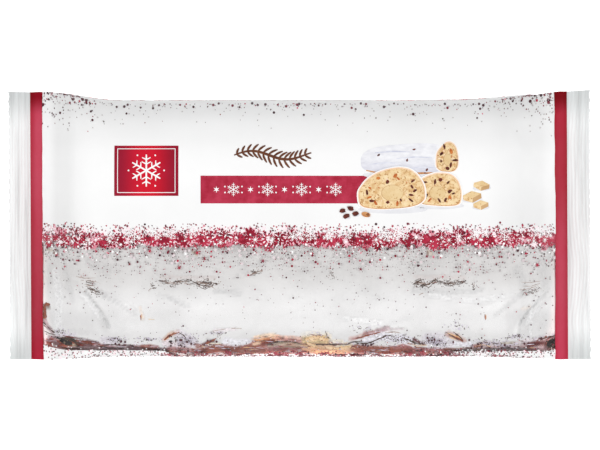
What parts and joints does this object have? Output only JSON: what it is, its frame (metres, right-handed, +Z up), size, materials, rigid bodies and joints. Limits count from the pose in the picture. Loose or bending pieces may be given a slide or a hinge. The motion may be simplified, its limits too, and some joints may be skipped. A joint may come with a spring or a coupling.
{
  "type": "packed stollen",
  "caption": "Sugared Christmas fruit loaf in a sealed flow-wrap film pack with ribbed end seals, a white printed panel, a red snowflake border and a clear window.",
  "frame": {"origin": "on the surface the pack rests on, under the middle of its length and width", "axes": "+X along the loaf from one end seal to the other, +Y across the pack towards the edge of the white panel that is the upper one when the print is read, +Z up out of the printed front"},
  "size_m": [0.3, 0.1374, 0.052],
  "materials": {
    "film_print": "glossy white printed packaging film with crimson end stripes",
    "film_clear": "thin clear glossy packaging film",
    "ink_crimson": "crimson ink on glossy film",
    "ink_dark": "dark brown ink on glossy film",
    "ink_white": "white ink on glossy film",
    "ink_tan": "tan ink on glossy film",
    "crust": "matt brown baked crust",
    "sugar": "matt white powdered sugar crust",
    "fruit": "dark wrinkled dried fruit",
    "nut": "pale toasted almond and candied peel"
  },
  "bodies": {
    "root": {"stollen_pack": "film_print"}
  },
  "joints": []
}
